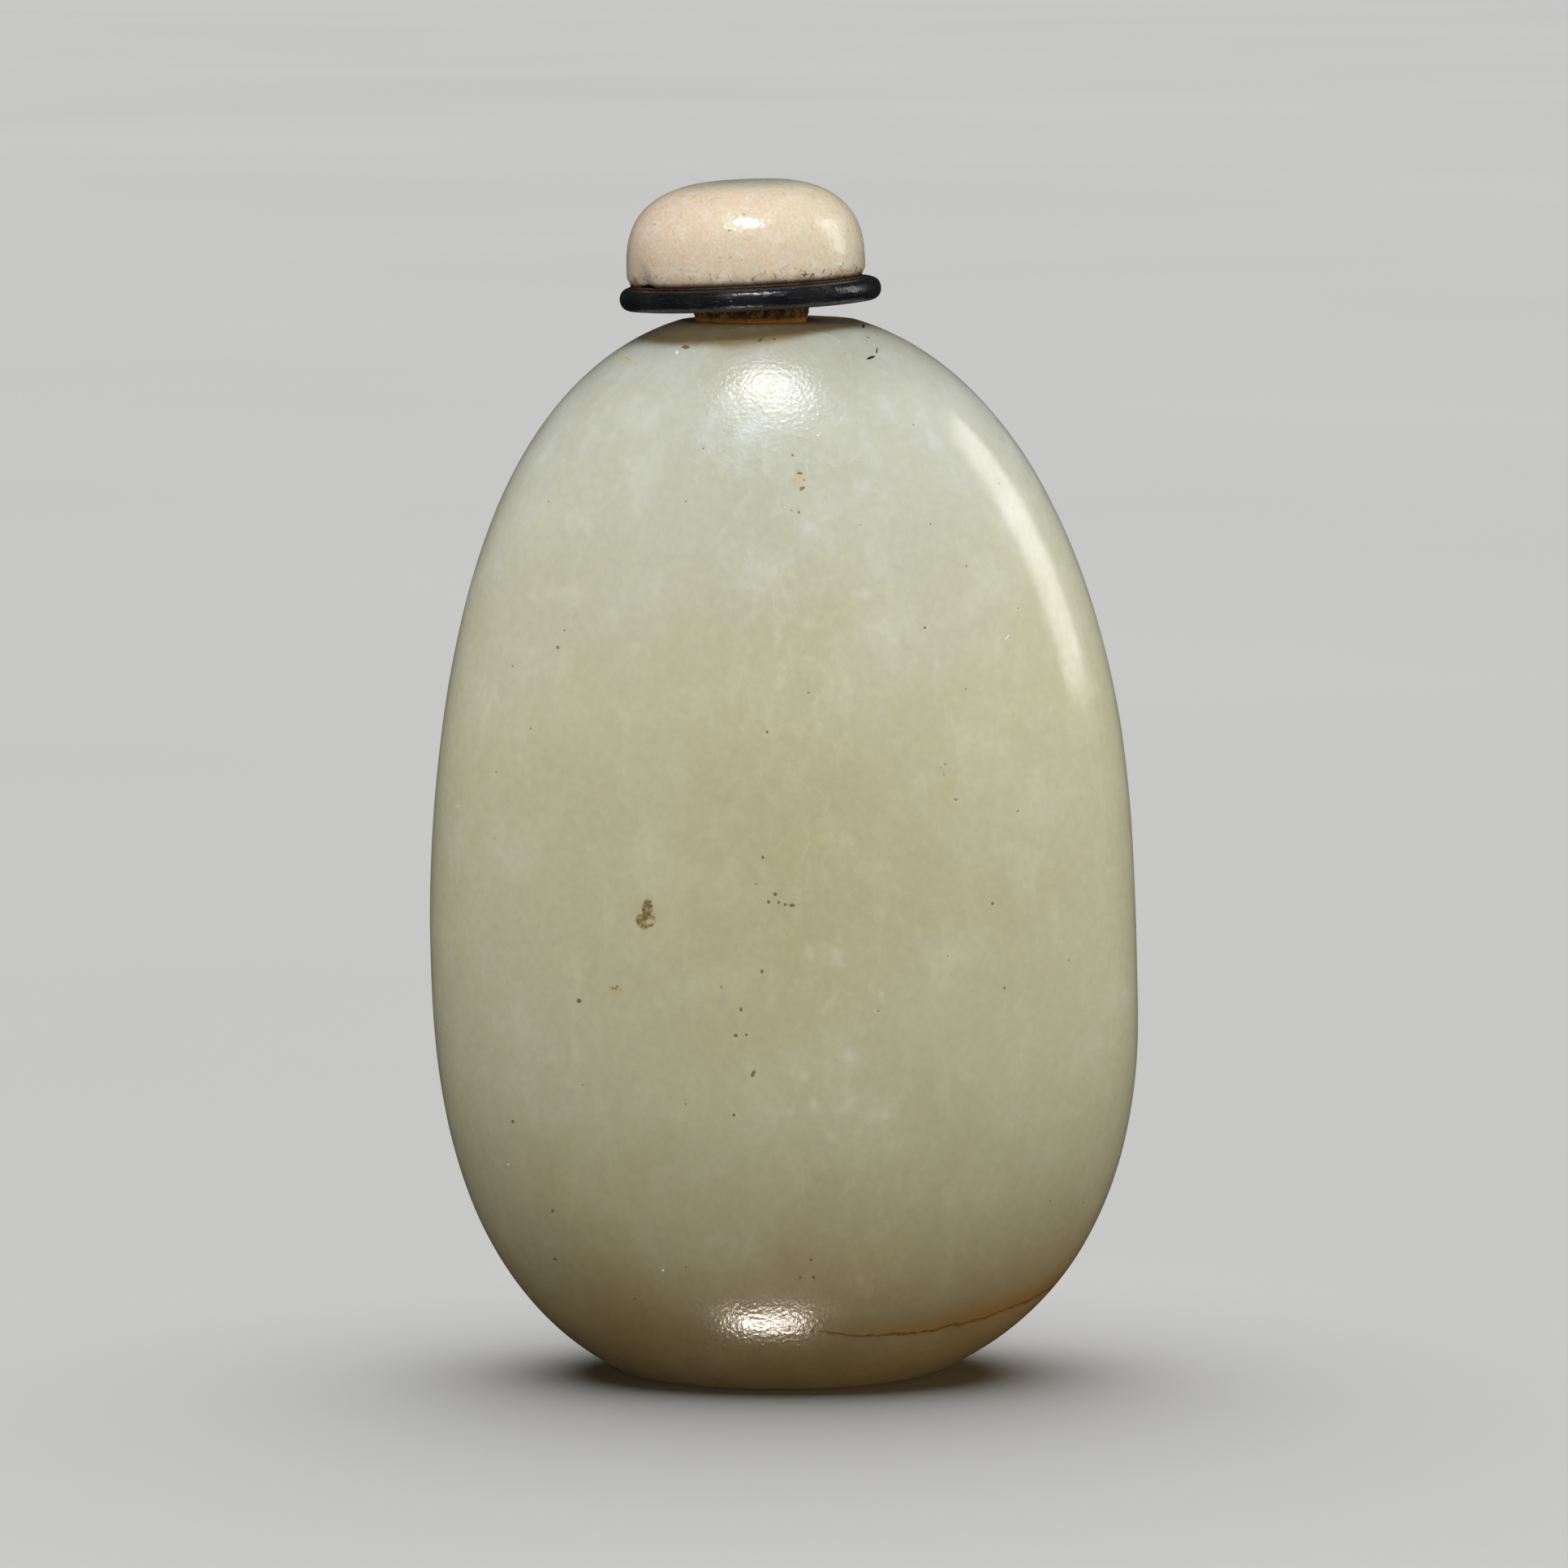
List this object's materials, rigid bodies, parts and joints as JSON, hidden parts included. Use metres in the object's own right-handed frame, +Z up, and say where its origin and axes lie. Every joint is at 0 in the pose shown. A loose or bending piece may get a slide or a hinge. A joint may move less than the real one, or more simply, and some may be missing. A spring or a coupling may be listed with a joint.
{
  "type": "snuff bottle",
  "caption": "Pebble-shaped hollow jade snuff bottle with a flat oval foot and a narrow mouth, closed by a lift-out stopper: a domed stone cap on a black collar and a cork.",
  "frame": {"origin": "middle of the flat oval foot, on the surface that the bottle stands on", "axes": "+Z up along the bottle, -Y towards the front broad face, +X to that face's right"},
  "size_m": [0.0413, 0.0262, 0.0698],
  "materials": {
    "jade": "satin",
    "cork": "matte",
    "collar": "gloss",
    "cap_stone": "gloss"
  },
  "bodies": {
    "root": {"bottle": "jade", "stopper_cork": "cork", "stopper_collar": "collar", "stopper_cap": "cap_stone"}
  },
  "joints": []
}
